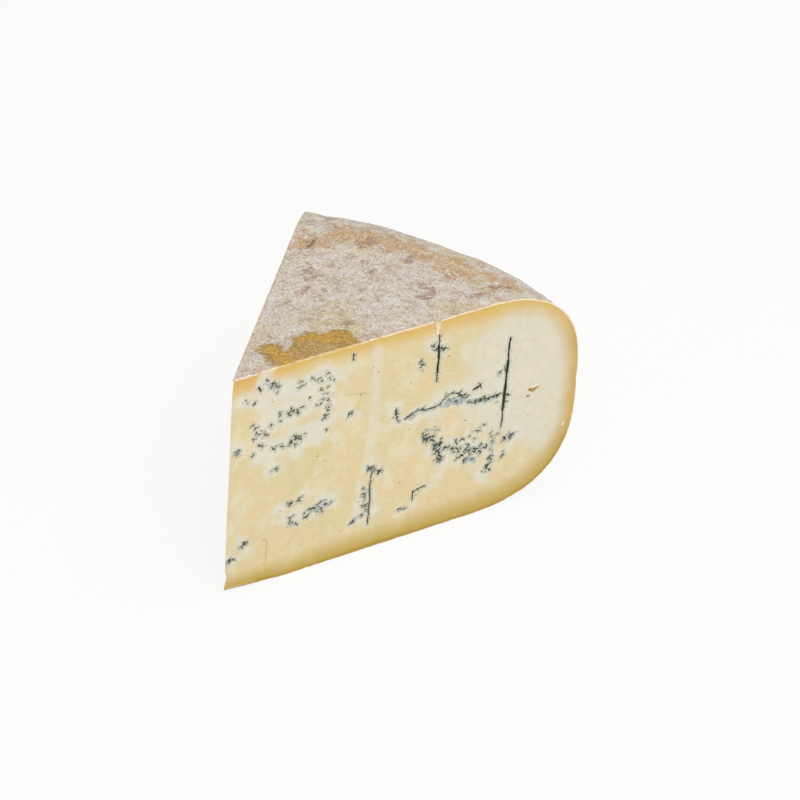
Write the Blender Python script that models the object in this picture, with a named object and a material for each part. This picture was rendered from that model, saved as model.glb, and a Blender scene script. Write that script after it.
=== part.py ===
"""A hand-cut wedge of natural-rind blue cheese, about an eighth of its wheel.

The wheel is turned from one profile: a flat top and base, and two soft shoulders that meet at
the belly. A knife has left two flat cut faces, which meet on the wheel's axis at the wedge's point.
Metres, +Z up. The front cut face looks along -Y, and the rind is at +X.
"""

import math

import bmesh
import bpy
from mathutils import Matrix, Vector, noise

MM = 0.001

# The whole wheel, and how much of it the wedge is.
WHEEL_RADIUS = 165 * MM
WHEEL_HEIGHT = 97 * MM
WEDGE_ANGLE = math.radians(46.6)

# The profile: where the flat top and base end, and the height of the widest line between them.
TOP_FLAT_RADIUS = 118 * MM
BASE_FLAT_RADIUS = 112 * MM
BELLY_HEIGHT = 45 * MM
SHOULDER_POWER = 2.7  # 2 is an ellipse's shoulder, and more is squarer
SHOULDER_STEPS = 15
FLAT_STEP = 9 * MM
TURN_STEPS = 24

# A ripened wheel sags a little: the centre of its top sinks, and that of its base is drawn up.
TOP_DIP = 0.7 * MM
TOP_DIP_RADIUS = 45 * MM
BASE_LIFT = 1.6 * MM
BASE_LIFT_RADIUS = 28 * MM

# Soft swells and hollows of the rind, from hand turning on the ripening boards.
SWELL = 0.9 * MM
SWELL_SPACING = 34 * MM

PASTE_COLOUR = (0.78, 0.69, 0.46)
RIND_COLOUR = (0.60, 0.53, 0.43)


def shoulder(flat_radius, end_height):
    """A quarter of a superellipse, from where the flat face ends at end_height out to the belly."""
    width = WHEEL_RADIUS - flat_radius
    height = end_height - BELLY_HEIGHT
    points = []
    for step in range(SHOULDER_STEPS + 1):
        turn = math.pi / 2 * step / SHOULDER_STEPS
        out = abs(math.sin(turn)) ** (2 / SHOULDER_POWER)
        up = abs(math.cos(turn)) ** (2 / SHOULDER_POWER)
        points.append((flat_radius + width * out, BELLY_HEIGHT + height * up))
    return points


def flat(radius, height_at):
    """Points along a flat face, from the axis out to just before radius."""
    steps = round(radius / FLAT_STEP)
    return [(radius * n / steps, height_at(radius * n / steps)) for n in range(steps)]


def dished(radius, dish_radius):
    """1 on the axis, falling smoothly to 0 at dish_radius."""
    share = min(radius / dish_radius, 1)
    return (1 - share * share) ** 2


def wheel_profile():
    """(radius, height) round the cut face, from the middle of the top, over the belly, to the base's middle."""
    top = flat(TOP_FLAT_RADIUS, lambda r: WHEEL_HEIGHT - TOP_DIP * dished(r, TOP_DIP_RADIUS))
    base = flat(BASE_FLAT_RADIUS, lambda r: BASE_LIFT * dished(r, BASE_LIFT_RADIUS))
    upper = shoulder(TOP_FLAT_RADIUS, WHEEL_HEIGHT)
    lower = shoulder(BASE_FLAT_RADIUS, 0.0)
    return top + upper + lower[-2::-1] + base[::-1]


def swell(point):
    """The point, moved by the rind's unevenness: up on the top, outwards at the belly, not at all on the base."""
    radius = math.hypot(point.x, point.y)
    amount = SWELL * noise.noise(point / SWELL_SPACING)
    up = max(0.0, (point.z - BELLY_HEIGHT) / (WHEEL_HEIGHT - BELLY_HEIGHT))
    out = max(0.0, (radius - BASE_FLAT_RADIUS) / (WHEEL_RADIUS - BASE_FLAT_RADIUS))
    outwards = Vector((point.x, point.y, 0)).normalized()
    return point + outwards * amount * out + Vector((0, 0, amount * up))


def wedge_mesh():
    """The front cut face, turned about the wheel's axis by the wedge's angle."""
    bm = bmesh.new()
    cut_face = bm.faces.new([bm.verts.new((r, 0, z)) for r, z in wheel_profile()])
    bmesh.ops.spin(
        bm,
        geom=[cut_face, *cut_face.edges, *cut_face.verts],
        cent=(0, 0, 0),
        axis=(0, 0, 1),
        angle=WEDGE_ANGLE,
        steps=TURN_STEPS,
    )
    bmesh.ops.remove_doubles(bm, verts=bm.verts, dist=0.01 * MM)
    for vertex in bm.verts:
        vertex.co = swell(vertex.co)
    bmesh.ops.recalc_face_normals(bm, faces=bm.faces)
    mesh = bpy.data.meshes.new("cheese_wedge")
    bm.to_mesh(mesh)
    bm.free()
    return mesh


def material(name, colour, roughness):
    made = bpy.data.materials.new(name)
    made.use_nodes = True
    shader = made.node_tree.nodes["Principled BSDF"]
    shader.inputs["Base Color"].default_value = (*colour, 1)
    shader.inputs["Roughness"].default_value = roughness
    shader.inputs["Metallic"].default_value = 0.0
    return made


def is_cut_face(polygon):
    """A cut face is the one kind that reaches the axis edge, from the base right up to the top."""
    return len(polygon.vertices) > 4


def centre_on_base(mesh):
    """Puts the origin under the middle of the wedge's box, on the surface that it stands on."""
    xs = [vertex.co.x for vertex in mesh.vertices]
    ys = [vertex.co.y for vertex in mesh.vertices]
    lowest = min(vertex.co.z for vertex in mesh.vertices)
    middle = Vector(((min(xs) + max(xs)) / 2, (min(ys) + max(ys)) / 2, lowest))
    mesh.transform(Matrix.Translation(-middle))


def make_wedge():
    mesh = wedge_mesh()
    centre_on_base(mesh)
    mesh.materials.append(material("natural_rind", RIND_COLOUR, 0.85))
    mesh.materials.append(material("blue_veined_paste", PASTE_COLOUR, 0.5))
    mesh.shade_smooth()
    for polygon in mesh.polygons:
        polygon.material_index = 1 if is_cut_face(polygon) else 0
    mesh.set_sharp_from_angle(angle=math.radians(35))
    wedge = bpy.data.objects.new("cheese_wedge", mesh)
    bpy.context.scene.collection.objects.link(wedge)


for leftover in list(bpy.data.objects):
    bpy.data.objects.remove(leftover)
make_wedge()
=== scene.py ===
"""Looks of a hand-cut wedge of natural-rind blue cheese: its paste, veins, rind, crumbs, light and camera.

The shapes are worked out in millimetres about the wheel's axis, as the knife and the ripening left them,
and are moved onto the CAD wedge at the end. On a cut face, x runs from the axis out to the rind, and z up.
"""

import math
import random
from types import SimpleNamespace

import bmesh
import bpy
import numpy as np
from mathutils import Matrix, Quaternion, Vector, noise
from mathutils.geometry import delaunay_2d_cdt


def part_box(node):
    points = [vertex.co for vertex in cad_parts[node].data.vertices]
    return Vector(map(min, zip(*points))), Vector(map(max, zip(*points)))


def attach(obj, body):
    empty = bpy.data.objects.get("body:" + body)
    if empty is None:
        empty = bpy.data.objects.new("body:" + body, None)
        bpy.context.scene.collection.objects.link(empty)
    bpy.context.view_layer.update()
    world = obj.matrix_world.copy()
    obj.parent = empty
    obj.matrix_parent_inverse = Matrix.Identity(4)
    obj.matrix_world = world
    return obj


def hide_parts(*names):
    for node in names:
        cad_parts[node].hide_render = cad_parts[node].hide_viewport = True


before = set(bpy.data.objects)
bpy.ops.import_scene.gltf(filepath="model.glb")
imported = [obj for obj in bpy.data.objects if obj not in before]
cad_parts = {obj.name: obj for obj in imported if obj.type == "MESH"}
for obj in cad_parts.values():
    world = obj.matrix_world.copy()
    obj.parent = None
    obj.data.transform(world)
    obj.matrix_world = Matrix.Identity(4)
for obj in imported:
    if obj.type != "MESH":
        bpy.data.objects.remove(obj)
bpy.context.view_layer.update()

MM = 0.001

# The whole wheel and the wedge, in millimetres, as the CAD has them.
WHEEL_RADIUS = 165
WHEEL_HEIGHT = 97
WEDGE_ANGLE = math.radians(46.6)
TOP_FLAT_RADIUS = 118
BASE_FLAT_RADIUS = 112
BELLY_HEIGHT = 45
SHOULDER_POWER = 2.7
TOP_DIP, TOP_DIP_RADIUS = 0.7, 45
BASE_LIFT, BASE_LIFT_RADIUS = 1.6, 28
SWELL, SWELL_SPACING = 0.9, 34

# How deep each skin lies under the CAD's surface.
PASTE_CUT_INSET = 0.16
PASTE_UNDER_RIND = 0.5  # at the cut, where the rind is thin and ragged
PASTE_DEEP = 1.05  # away from it
RIND_INNER = 1.3
RIND_CUT_INSET = 0.05

# Where the paste's skin has its rows between the cut face and the middle plane, as shares of the turn.
SKIN_TURNS = (0.04, 0.2, 0.36, 0.52, 0.68, 0.84, 1.0)

# Each piece's atlas of its surface: the millimetres that fill it from side to side.
ATLAS_SPAN = 167
ATLAS_ARC = 135.5

# Where the first needle went in through the top, from the wheel's axis.
NEEDLE_MOUTH = 93.2
NEEDLE_DIMPLE = 92.4

# Mesh spacing: fine where mould is, wide on plain paste.
FINE, MEDIUM, WIDE = 0.24, 0.48, 0.95
RIM_STEP = 0.75
TOP_RIND_STEP = 0.42
SIDE_RIND_STEP = 0.62
RIND_START = 0.9  # how far from the wheel's axis the rind's rows begin
RIND_SEAM_HEIGHT = 72  # where the top's rind ends and the side's begins

# The view: degrees right of straight on, down and of roll; millimetres away, and the point it aims at.
LENS = 135
VIEW_HEADING, VIEW_DOWN, VIEW_ROLL = 36.4, 31.5, 4.4
VIEW_DISTANCE = 1150
VIEW_AIM = (73, -5.5, 70)

# The studio: metres, watts, and shares of plain white.
FLOOR_HALF = 3.0
LAMP_DISTANCE = 1.6
KEY_WATTS = 11.5
OVERHEAD_WATTS = 6.8
ROOM_LIGHT = 0.48
PAPER_GLOW = 0.85


# ---------------------------------------------------------------- small tools

def smooth(low, high, values):
    """0 below low, 1 above high, and an easy curve between; low may be the larger."""
    share = np.clip((values - low) / (high - low), 0, 1)
    return share * share * (3 - 2 * share)


def noise_at(points, spacing, octaves=1, seed=0):
    """Smooth noise of about -1 to 1 at (n, 3) points, with lumps about spacing apart."""
    shifted = points / spacing + np.array((seed * 17.3, seed * 5.9, seed * 11.1))
    if octaves == 1:
        return np.array([noise.noise(p) for p in shifted.tolist()])
    return np.array([noise.fractal(p, 1.0, 2.0, octaves) for p in shifted.tolist()])


def on_face(x, z, seed=0):
    """A cut face's points as (n, 3), so that noise can be read on it."""
    return np.stack([x, np.full_like(x, seed * 41.7), z], axis=1)


def stroke_distance(x, z, strokes, reach=7.0):
    """Signed distance from points to the nearest stroke; a stroke is (x0, z0, x1, z1, half_width)."""
    nearest = np.full(len(x), reach)
    for x0, z0, x1, z1, half_width in strokes:
        low_x, high_x = min(x0, x1) - reach, max(x0, x1) + reach
        low_z, high_z = min(z0, z1) - reach, max(z0, z1) + reach
        near = np.flatnonzero((x > low_x) & (x < high_x) & (z > low_z) & (z < high_z))
        along = np.array((x1 - x0, z1 - z0))
        length2 = max(along @ along, 1e-9)
        px, pz = x[near] - x0, z[near] - z0
        t = np.clip((px * along[0] + pz * along[1]) / length2, 0, 1)
        gap = np.hypot(px - t * along[0], pz - t * along[1]) - half_width
        nearest[near] = np.minimum(nearest[near], gap)
    return nearest


# ---------------------------------------------------------------- the wheel's form

def dished(radius, dish_radius):
    share = np.minimum(radius / dish_radius, 1)
    return (1 - share * share) ** 2


def wheel_outline(step=0.25):
    """(s, r, z, nr, nz) along the profile, from the top's middle over the belly to the base's middle."""
    turn = np.linspace(0, math.pi / 2, 400)
    out, up = np.sin(turn) ** (2 / SHOULDER_POWER), np.cos(turn) ** (2 / SHOULDER_POWER)
    top_r = np.linspace(0, TOP_FLAT_RADIUS, 300)[:-1]
    base_r = np.linspace(0, BASE_FLAT_RADIUS, 300)[:-1]
    top_z = WHEEL_HEIGHT - TOP_DIP * dished(top_r, TOP_DIP_RADIUS)
    base_z = BASE_LIFT * dished(base_r, BASE_LIFT_RADIUS)
    upper_r = TOP_FLAT_RADIUS + (WHEEL_RADIUS - TOP_FLAT_RADIUS) * out
    upper_z = BELLY_HEIGHT + (WHEEL_HEIGHT - BELLY_HEIGHT) * up
    lower_r = BASE_FLAT_RADIUS + (WHEEL_RADIUS - BASE_FLAT_RADIUS) * out
    lower_z = BELLY_HEIGHT * (1 - up)
    r = np.concatenate([top_r, upper_r, lower_r[-2::-1], base_r[::-1]])
    z = np.concatenate([top_z, upper_z, lower_z[-2::-1], base_z[::-1]])
    s = np.concatenate([[0], np.cumsum(np.hypot(np.diff(r), np.diff(z)))])
    even = np.linspace(0, s[-1], int(s[-1] / step) + 1)
    r, z = np.interp(even, s, r), np.interp(even, s, z)
    along_r, along_z = np.gradient(r, even), np.gradient(z, even)
    length = np.hypot(along_r, along_z)
    return even, r, z, -along_z / length, along_r / length


OUTLINE_S, OUTLINE_R, OUTLINE_Z, OUTLINE_NR, OUTLINE_NZ = wheel_outline()


def profile_at(s, inset=0.0):
    """(r, z) at arc lengths s, moved inwards by inset."""
    r = np.interp(s, OUTLINE_S, OUTLINE_R) - inset * np.interp(s, OUTLINE_S, OUTLINE_NR)
    z = np.interp(s, OUTLINE_S, OUTLINE_Z) - inset * np.interp(s, OUTLINE_S, OUTLINE_NZ)
    return r, z


def swelled(points):
    """The CAD's soft unevenness: up on the top, outwards at the belly, none on the base."""
    radius = np.hypot(points[:, 0], points[:, 1])
    amount = SWELL * noise_at(points, SWELL_SPACING)
    up = np.maximum(0, (points[:, 2] - BELLY_HEIGHT) / (WHEEL_HEIGHT - BELLY_HEIGHT))
    out = np.maximum(0, (radius - BASE_FLAT_RADIUS) / (WHEEL_RADIUS - BASE_FLAT_RADIUS))
    moved = points.copy()
    moved[:, :2] *= (1 + amount * out / np.maximum(radius, 1))[:, None]
    moved[:, 2] += amount * up
    return moved


def around(r, angle, z):
    return np.stack([r * np.cos(angle), r * np.sin(angle), z + 0 * r], axis=1)


def tip_inset(z):
    """How far the knife and handling have worn the point back from the wheel's axis, at height z."""
    worn = 0.42 + 0.5 * smooth(90, 97, z) + 0.12 * np.sin(z / 7.0) * smooth(0, 12, z)
    chip = 1.5 * np.exp(-(((z - 7.0) / 1.9) ** 2))
    foot = -0.1 * smooth(4.5, 1.5, z)
    return worn + chip + foot


# ---------------------------------------------------------------- veins, as strokes on a cut face

def path(width, *points):
    """Strokes from point to point."""
    return [(*a, *b, width) for a, b in zip(points, points[1:])]


def ragged(strokes, wander, pieces, rng):
    """The same strokes broken into short ones that wander from side to side and change in width."""
    broken = []
    for x0, z0, x1, z1, width in strokes:
        at = [(x0, z0)]
        for n in range(1, pieces):
            t = n / pieces
            x, z = x0 + (x1 - x0) * t, z0 + (z1 - z0) * t
            at.append((x + rng.gauss(0, wander), z + rng.gauss(0, wander)))
        at.append((x1, z1))
        for a, b in zip(at, at[1:]):
            broken.append((*a, *b, width * rng.uniform(0.55, 1.25)))
    return broken


def star(x, z, size, rng, arms=3):
    """A splayed speck of mould: a small core with long thin arms."""
    strokes = [(x, z, x + 0.25 * size, z + 0.15 * size, 0.04 + 0.17 * size)]
    turn = rng.uniform(0, math.tau)
    for arm in range(arms):
        angle = turn + arm * math.tau / arms + rng.uniform(-0.7, 0.7)
        length = size * rng.uniform(0.5, 1.5)
        dx, dz = length * math.cos(angle), 0.8 * length * math.sin(angle)
        strokes.append((x, z, x + dx, z + dz, 0.03 + size * rng.uniform(0.04, 0.13)))
    return strokes


def scatter(route, breadth, count, size, rng, arms=3):
    """Stars along a route, thickest at its middle and thinner towards breadth."""
    strokes = []
    lengths = [math.dist(a, b) for a, b in zip(route, route[1:])]
    for _ in range(count):
        leg = rng.choices(range(len(lengths)), weights=lengths)[0]
        t = rng.random()
        (ax, az), (bx, bz) = route[leg], route[leg + 1]
        x = ax + (bx - ax) * t + rng.gauss(0, breadth / 2)
        z = az + (bz - az) * t + rng.gauss(0, breadth / 2.6)
        strokes += star(x, z, size * rng.uniform(0.4, 1.5), rng, arms)
    return strokes


def needle_channel(x, top, foot, lean, width, rng):
    """Where a piercing needle ran down beside the cut: widest in its middle, and thin at both ends."""
    heights = [top - share * (top - foot) for share in (0, 0.25, 0.8, 1)]
    places = [(x + lean * (top - z) / (top - foot), z) for z in heights]
    strokes = []
    for above, below, share in zip(places, places[1:], (0.6, 1.0, 0.55)):
        strokes += ragged(path(width * share, above, below), 0.19, 4, rng)
    return strokes


def nest(veins, rng, route, breadth, count, size, crack=0, blue=0, bloom=2.0):
    """Mould gathered along a route: specks, a crack if it has a width, a blue-grey fill, a pale bloom."""
    if crack:
        veins["dark"] += ragged(path(crack, *route), 0.4, 3, rng)
    if blue:
        veins["fill"] += path(blue, *route)
    veins["dark"] += scatter(route, breadth, count, size, rng, 4)
    veins["halo"] += path(bloom, *route)


def small_eyes(count, rng):
    """Tiny openings in the curd, anywhere on a face."""
    eyes = []
    for _ in range(count):
        x, z, size = rng.uniform(8, 152), rng.uniform(8, 86), rng.uniform(0.28, 0.56)
        eyes.append((x - size * 0.5, z, x + size * 0.5, z, size * 0.6))
    return eyes


def by_needles(veins, rng):
    """Three needle channels, blued from end to end, with the blots beside them."""
    for channel in ((94, 90, 69, 0.3, 0.46), (129, 79, 38, -0.8, 0.56), (66, 38, 12, 0, 0.48)):
        veins["dark"] += needle_channel(*channel, rng)
    nest(veins, rng, ((92, 85), (96, 83)), 1.6, 7, 1.0, blue=0.9)
    nest(veins, rng, ((86, 81), (87, 77)), 0.8, 4, 0.8, blue=0.7, bloom=1.2)
    nest(veins, rng, ((127, 66), (128, 46)), 4.0, 9, 0.7, bloom=3.0)
    nest(veins, rng, ((64, 38), (71, 35)), 1.4, 9, 0.9, blue=0.9)
    nest(veins, rng, ((63, 29), (65, 17)), 2.2, 16, 0.65, blue=0.7, bloom=2.6)
    nest(veins, rng, ((57, 14), (63, 17)), 0.8, 5, 0.6, crack=0.15, blue=0.6, bloom=1.5)


def by_crack(veins, rng):
    """The long crack from the face's middle to the second channel, with its blue pocket."""
    nest(veins, rng, ((76, 62), (76, 59), (77, 56)), 1.2, 7, 0.7, crack=0.2)
    nest(veins, rng, ((80, 56), (87, 58), (95, 57)), 1.4, 14, 0.8, crack=0.13, blue=0.6)
    nest(veins, rng, ((95, 57), (101, 61), (106, 60), (110, 57)), 1.8, 13, 0.7, crack=0.17)
    nest(veins, rng, ((99, 58), (108, 57)), 1.8, 8, 0.6, blue=1.8)
    nest(veins, rng, ((110, 55), (117, 54), (127, 54)), 1.8, 26, 0.65, crack=0.16, blue=0.8)
    nest(veins, rng, ((113, 60), (116, 61)), 0.5, 3, 0.9, crack=0.4, bloom=0.6)


def by_broken_band(veins, rng):
    """Below the crack: a dark nest, a paler one, and a chain that climbs to the second channel's foot."""
    nest(veins, rng, ((90, 44), (94, 43)), 1.8, 12, 0.9, blue=0.8)
    nest(veins, rng, ((95, 41), (98, 36), (99, 32)), 3.4, 26, 0.95, blue=1.2, bloom=3.0)
    nest(veins, rng, ((90, 47), (98, 46)), 1.2, 7, 0.4, bloom=0.8)
    nest(veins, rng, ((105, 38), (108, 33), (111, 30)), 3.4, 24, 0.8, bloom=3.0)
    nest(veins, rng, ((112, 32), (120, 31)), 4.6, 20, 0.75, blue=1.1, bloom=3.2)
    nest(veins, rng, ((112, 28), (116, 26)), 1.4, 5, 0.7, blue=1.4)
    nest(veins, rng, ((112, 39), (122, 42)), 1.0, 9, 0.5, bloom=1.4)
    nest(veins, rng, ((125, 36), (125, 27), (122, 18)), 2.2, 22, 0.75, blue=0.6, bloom=1.8)
    nest(veins, rng, ((131, 32), (136, 33)), 2.0, 9, 1.0, blue=0.9, bloom=1.6)
    nest(veins, rng, ((131, 28), (130, 23)), 0.8, 3, 0.9, bloom=0.8)


def by_sparse_field(veins, rng):
    """The wide, sparse field of specks near the point, in its pale bloom."""
    nest(veins, rng, ((15, 91), (21, 87)), 2.6, 14, 0.7, blue=0.9, bloom=4.0)
    nest(veins, rng, ((6, 85), (14, 82)), 1.4, 5, 0.6)
    nest(veins, rng, ((28, 86), (47, 85)), 3.8, 16, 0.5, bloom=4.5)
    nest(veins, rng, ((36, 79), (44, 80)), 3.4, 7, 0.5, bloom=4.0)
    nest(veins, rng, ((18, 71), (26, 75), (33, 75)), 3.0, 15, 0.8, bloom=5.0)
    nest(veins, rng, ((14, 74), (14, 62)), 3.6, 15, 0.7, bloom=4.5)
    nest(veins, rng, ((20, 61), (27, 61), (35, 63)), 3.2, 20, 0.85, bloom=5.0)
    nest(veins, rng, ((42, 77), (43, 67), (41, 62)), 3.2, 16, 0.75, bloom=4.5)


def by_lone_pockets(veins, rng):
    """Single pockets, and a ring of them low down near the point."""
    veins["dark"] += path(0.3, (12, 90), (13, 88)) + path(0.26, (54, 93), (54, 90))
    pockets = ((54, 66, 4, 0.9), (4, 64, 4, 0.9), (9, 20, 5, 1.1), (21, 51, 3, 0.8), (3, 15, 5, 0.8))
    for x, z, count, size in pockets:
        nest(veins, rng, ((x - 1, z), (x + 1, z)), 0.9, count, size, blue=0.5, bloom=1.4)
    nest(veins, rng, ((26, 32), (34, 33)), 2.2, 12, 0.7, bloom=2.8)
    nest(veins, rng, ((28, 27), (31, 23)), 2.0, 8, 0.8, blue=0.7, bloom=2.6)
    nest(veins, rng, ((37, 25), (46, 29)), 3.4, 22, 0.75, blue=0.9, bloom=3.2)
    nest(veins, rng, ((87, 16), (87, 20), (93, 21)), 0.6, 4, 0.6, crack=0.24, bloom=1.2)
    nest(veins, rng, ((80, 14), (84, 13)), 0.5, 2, 0.5, crack=0.15, bloom=1.0)


def bare_veins():
    return {"dark": [], "fill": [], "halo": [], "eyes": [], "flaps": [], "smear": []}


def front_veins():
    """The front cut face: dark strokes, blue-grey fills, pale blooms, eyes, and smears from the knife."""
    rng = random.Random(11)
    veins = bare_veins()
    for gathering in (by_needles, by_crack, by_broken_band, by_sparse_field, by_lone_pockets):
        gathering(veins, rng)
    veins["eyes"] += path(0.8, (141, 52), (143, 51), (145, 52)) + path(0.55, (140, 49), (141, 49))
    veins["eyes"] += path(0.14, (17, 20), (19, 19), (19, 7)) + path(0.11, (52, 75), (63, 73))
    veins["eyes"] += small_eyes(34, rng)
    veins["flaps"] += path(0.5, (141, 53), (145, 53)) + path(0.4, (160, 30), (160, 31))
    veins["flaps"] += path(0.3, (108, 2), (109, 2))
    veins["smear"] += path(2.2, (65, 91), (65, 43)) + path(1.2, (95, 66), (96, 60))
    veins["smear"] += path(2.0, (101, 29), (98, 21))
    return veins


def back_veins():
    """The far cut face: the same kinds of mould."""
    rng = random.Random(29)
    veins = bare_veins()
    channels = ((46, 82, 52, 1.4, 0.36), (87, 58, 20, -1.8, 0.46), (121, 80, 49, 0.9, 0.40))
    for x, top, foot, lean, width in channels:
        veins["dark"] += needle_channel(x, top, foot, lean, width, rng)
        veins["smear"] += path(1.3, (x, top + 9), (x, top))
        veins["smear"] += path(1.1, (x + lean, foot), (x + lean, foot - 14))
        nest(veins, rng, ((x - 1, top - 3), (x + 2, top - 7)), 1.6, 6, 0.8)
    for cx, cz, reach, rise, count, crack in (
        (24, 70, 9, 0.5, 22, 0), (63, 78, 8, -0.4, 12, 0), (68, 44, 15, 0.12, 22, 0.2),
        (103, 33, 12, 0.3, 34, 0), (134, 58, 7, 0.6, 14, 0), (27, 29, 8, -0.3, 18, 0),
        (105, 70, 12, -0.1, 14, 0.2), (52, 18, 6, 0.1, 7, 0),
    ):
        route = [(cx + reach * t, cz + reach * rise * t + rng.gauss(0, 1.4)) for t in (-1, -0.4, 0.3, 1)]
        nest(veins, rng, route, 4.0, count, 0.95, crack, blue=0.8, bloom=3.0)
        nest(veins, rng, route[1:3], 6.5, count // 2, 0.55)
    veins["eyes"] += small_eyes(30, rng)
    return veins


# ---------------------------------------------------------------- meshes

def hexagons(spacing, low, high, rng):
    """A slightly shaken honeycomb of points."""
    rows = np.arange(low[1], high[1], spacing * math.sqrt(3) / 2)
    columns = np.arange(low[0], high[0], spacing)
    x, z = np.meshgrid(columns, rows)
    x = x + spacing / 2 * (np.arange(len(rows)) % 2)[:, None]
    shake = spacing * 0.16
    x = x + rng.uniform(-shake, shake, x.shape)
    z = z + rng.uniform(-shake, shake, z.shape)
    return x.ravel(), z.ravel()


def rim_gap(x, z, ring):
    """Distance from points to the nearest point of a ring."""
    gap = np.empty(len(x))
    for start in range(0, len(x), 4000):
        part = slice(start, start + 4000)
        gap[part] = np.hypot(x[part, None] - ring[None, :, 0], z[part, None] - ring[None, :, 1]).min(1)
    return gap


def inside(x, z, ring):
    """Whether points are inside a closed ring."""
    odd = np.zeros(len(x), bool)
    ends = np.roll(ring, -1, axis=0)
    for (ax, az), (bx, bz) in zip(ring, ends):
        if az != bz:
            crosses = (z < max(az, bz)) & (z >= min(az, bz))
            odd ^= crosses & (x < ax + (bx - ax) * (z - az) / (bz - az))
    return odd


def graded_points(ring, veins, rng):
    """Points inside the ring, close together on mould and wide apart on plain paste."""
    low, high = ring.min(0), ring.max(0)
    x, z, level = [], [], []
    marks = veins["dark"] + veins["eyes"]
    for spacing, nearest, furthest in ((FINE, -9, 0.45), (MEDIUM, 0.45, 1.6), (WIDE, 1.6, 99)):
        gx, gz = hexagons(spacing, low, high, rng)
        gap = stroke_distance(gx, gz, marks)
        keep = (gap > nearest) & (gap <= furthest)
        gx, gz = gx[keep], gz[keep]
        keep = inside(gx, gz, ring)
        gx, gz = gx[keep], gz[keep]
        keep = rim_gap(gx, gz, ring) > 0.45 * max(spacing, 0.5)
        x.append(gx[keep])
        z.append(gz[keep])
    return np.concatenate(x), np.concatenate(z)


def triangulated(ring, x, z):
    """Triangles over a closed ring and the points inside it; the ring's points come first."""
    points = [Vector(p) for p in ring.tolist()] + [Vector(p) for p in zip(x.tolist(), z.tolist())]
    count = len(ring)
    edges = [(n, (n + 1) % count) for n in range(count)]
    made = delaunay_2d_cdt(points, edges, [list(range(count))], 1, 1e-9, True)
    source = [origins[0] for origins in made[3]]
    tris = np.array([[source[corner] for corner in face] for face in made[2]])
    middles = np.array([p[:] for p in points])[tris].mean(axis=1)
    return tris[inside(middles[:, 0], middles[:, 1], ring)]


def without_twins(tris, region):
    """Drops both of any two triangles on the same three corners, which lie back to back."""
    _, first, times = np.unique(np.sort(tris, axis=1), axis=0, return_inverse=True, return_counts=True)
    single = times[first.ravel()] == 1
    return tris[single], region[single]


def cut_basis(angle, inward):
    """Directions along and into the wedge from a cut face at angle."""
    along = np.array((math.cos(angle), math.sin(angle), 0))
    into = inward * np.array((-math.sin(angle), math.cos(angle), 0))
    return along, into


def outline_gap(x, z):
    """Depth of cut-face points under the wheel's outside, in millimetres."""
    ring = np.stack([OUTLINE_R, OUTLINE_Z], axis=1)[::3]
    return rim_gap(x, z, ring)


def needle_mouth(x, z):
    """The notch where a needle pushed rind down into the paste: how much of it is at each point."""
    half_width = 0.55 + 1.1 * smooth(92.0, 96.5, z)
    middle = NEEDLE_MOUTH + 0.35 * noise_at(on_face(x, z), 3.0, 1, 8) - 0.5 * smooth(91, 97, z)
    return smooth(0.4, -0.3, np.abs(x - middle) - half_width) * smooth(89.6, 91.2, z)


def drying(x, z, gap, drift):
    """How far the paste under the rind has dried: 0 to 1, deepest at the foot and near the point."""
    foot, point = smooth(40, 6, z) * smooth(-20, 90, x), smooth(34, 4, x) * smooth(60, 90, z)
    reach = 7.4 + 5.0 * foot + 2.2 * point + 1.6 * smooth(90, 130, x)
    return np.clip(1 - (gap - 0.5 + 0.9 * drift) / reach, 0, 1)


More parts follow.
